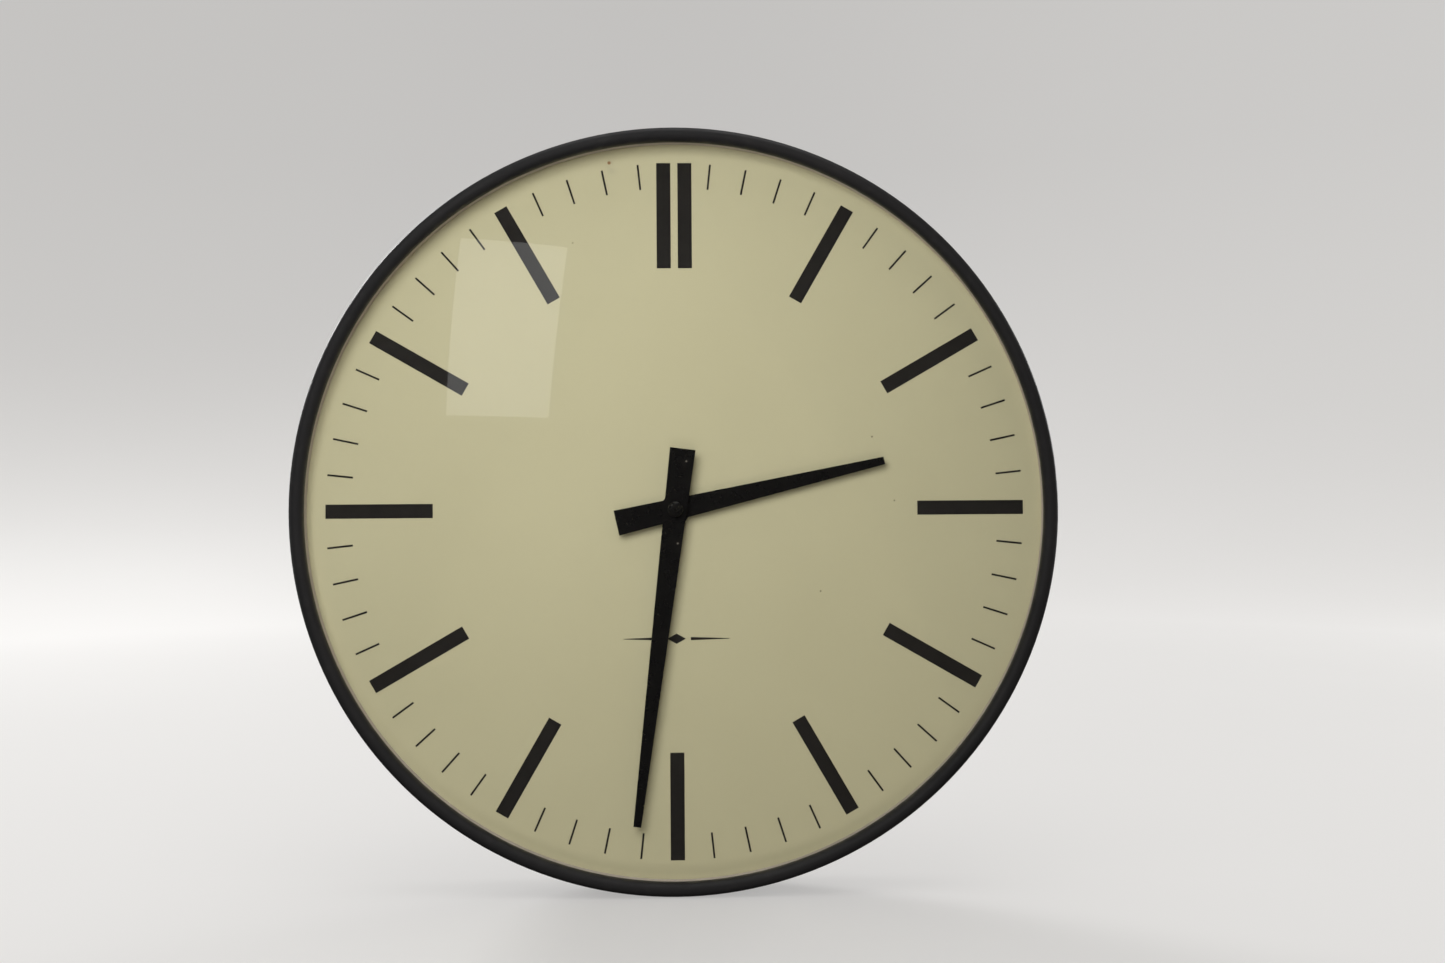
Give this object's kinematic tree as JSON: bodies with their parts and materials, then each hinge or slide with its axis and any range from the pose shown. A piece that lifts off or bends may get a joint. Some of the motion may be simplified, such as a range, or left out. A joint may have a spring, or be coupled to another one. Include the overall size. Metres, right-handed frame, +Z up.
{
  "type": "wall clock",
  "caption": "Large round wall clock with a slim black half-round rim, domed glass, cream dial with thick bar hour marks and flat tapered black hands.",
  "frame": {"origin": "the point on the wall plane where the wall screw's shank bears at the top of the hanger's keyhole slot", "axes": "+Z up towards 12 o'clock, +Y from the dial into the wall, +X to the right for someone who reads the dial; the hands' axis is parallel to Y at x 0, z -0.205"},
  "size_m": [0.53, 0.0717, 0.53],
  "materials": {
    "case_black": "matte black powder coat on steel",
    "hand_black": "black satin paint on aluminium sheet",
    "glass_clear": "clear domed glass",
    "dial_cream": "cream lacquered sheet, printed with black bars and ticks",
    "ring_grey": "light warm grey paint",
    "rubber_black": "black rubber",
    "hardboard": "plain brown hardboard",
    "zinc_steel": "zinc plated steel",
    "brass": "turned brass",
    "housing_black": "moulded black plastic",
    "gear_white": "moulded natural acetal",
    "board_green": "green solder resist",
    "copper_wire": "enamelled copper wire",
    "magnet_grey": "grey sintered magnet",
    "battery_wrap": "plain blue wrap on a steel can"
  },
  "bodies": {
    "clock_case": {"case_shell": "case_black", "bezel": "case_black", "rear_cover": "case_black", "glass_lens": "glass_clear", "dial_plate": "dial_cream", "inner_ring": "ring_grey", "lens_gasket": "rubber_black", "rubber_washer": "rubber_black", "wall_pad_left": "rubber_black", "wall_pad_right": "rubber_black", "dial_backing_board": "hardboard", "board_bracket_1": "zinc_steel", "board_bracket_2": "zinc_steel", "board_bracket_3": "zinc_steel", "board_bracket_4": "zinc_steel", "bracket_screw_1": "zinc_steel", "bracket_screw_2": "zinc_steel", "bracket_screw_3": "zinc_steel", "bracket_screw_4": "zinc_steel", "cover_screw_1": "zinc_steel", "cover_screw_2": "zinc_steel", "cover_screw_3": "zinc_steel", "cover_screw_4": "zinc_steel", "cover_screw_5": "zinc_steel", "cover_screw_6": "zinc_steel", "hanger_plate": "zinc_steel", "hanger_rivet_left": "zinc_steel", "hanger_rivet_right": "zinc_steel", "stator": "zinc_steel", "quartz_crystal": "zinc_steel", "battery_contact_positive": "zinc_steel", "battery_contact_negative": "zinc_steel", "mounting_bush": "brass", "mounting_nut": "brass", "dial_washer": "brass", "movement_front_housing": "housing_black", "movement_rear_housing": "housing_black", "middle_plate": "gear_white", "coil_bobbin": "gear_white", "circuit_board": "board_green", "coil_winding": "copper_wire", "battery": "battery_wrap"},
    "minute_hand_group": {"minute_hand": "hand_black", "minute_hand_collet": "hand_black", "cap_nut": "hand_black", "minute_arbor": "brass"},
    "hour_hand_group": {"hour_hand": "hand_black", "hour_hand_collet": "hand_black", "hour_wheel": "gear_white"},
    "motion_wheel_group": {"motion_wheel": "gear_white"},
    "setting_knob_group": {"setting_knob": "housing_black", "setting_pinion": "gear_white"},
    "rotor_group": {"rotor_pinion": "gear_white", "rotor_magnet": "magnet_grey"},
    "intermediate_wheel_group": {"intermediate_wheel": "gear_white"},
    "seconds_wheel_group": {"seconds_wheel": "gear_white"},
    "third_wheel_group": {"third_wheel": "gear_white"},
    "centre_wheel_group": {"centre_wheel": "gear_white"}
  },
  "joints": [
    {"name": "minute_hand_spin", "type": "hinge", "parent": "clock_case", "child": "minute_hand_group", "pos_m": [0, -0.0443, -0.205], "axis": [0, 1, 0], "continuous": true},
    {"name": "hour_hand_spin", "type": "hinge", "parent": "clock_case", "child": "hour_hand_group", "pos_m": [0, -0.0409, -0.205], "axis": [0, 1, 0], "continuous": true},
    {"name": "motion_wheel_spin", "type": "hinge", "parent": "clock_case", "child": "motion_wheel_group", "pos_m": [0.012, -0.023, -0.205], "axis": [0, 1, 0], "continuous": true},
    {"name": "setting_knob_spin", "type": "hinge", "parent": "clock_case", "child": "setting_knob_group", "pos_m": [0.02239, -0.0096, -0.211], "axis": [0, 1, 0], "continuous": true},
    {"name": "rotor_spin", "type": "hinge", "parent": "clock_case", "child": "rotor_group", "pos_m": [0.00364, -0.016, -0.18888], "axis": [0, 1, 0], "continuous": true},
    {"name": "intermediate_wheel_spin", "type": "hinge", "parent": "clock_case", "child": "intermediate_wheel_group", "pos_m": [-0.00245, -0.014, -0.1911], "axis": [0, 1, 0], "continuous": true},
    {"name": "seconds_wheel_spin", "type": "hinge", "parent": "clock_case", "child": "seconds_wheel_group", "pos_m": [-0.01001, -0.016, -0.1911], "axis": [0, 1, 0], "continuous": true},
    {"name": "third_wheel_spin", "type": "hinge", "parent": "clock_case", "child": "third_wheel_group", "pos_m": [-0.00842, -0.017, -0.20014], "axis": [0, 1, 0], "continuous": true},
    {"name": "centre_wheel_spin", "type": "hinge", "parent": "clock_case", "child": "centre_wheel_group", "pos_m": [0, -0.019, -0.205], "axis": [0, 1, 0], "continuous": true}
  ],
  "couplings": [
    {"joint": "hour_hand_spin", "follows": "minute_hand_spin", "ratio": 0.083333},
    {"joint": "motion_wheel_spin", "follows": "minute_hand_spin", "ratio": -0.33333},
    {"joint": "setting_knob_spin", "follows": "minute_hand_spin", "ratio": 1},
    {"joint": "intermediate_wheel_spin", "follows": "rotor_spin", "ratio": -0.2},
    {"joint": "seconds_wheel_spin", "follows": "rotor_spin", "ratio": 0.033333},
    {"joint": "third_wheel_spin", "follows": "rotor_spin", "ratio": -0.0044444},
    {"joint": "centre_wheel_spin", "follows": "rotor_spin", "ratio": 0.00055556}
  ]
}
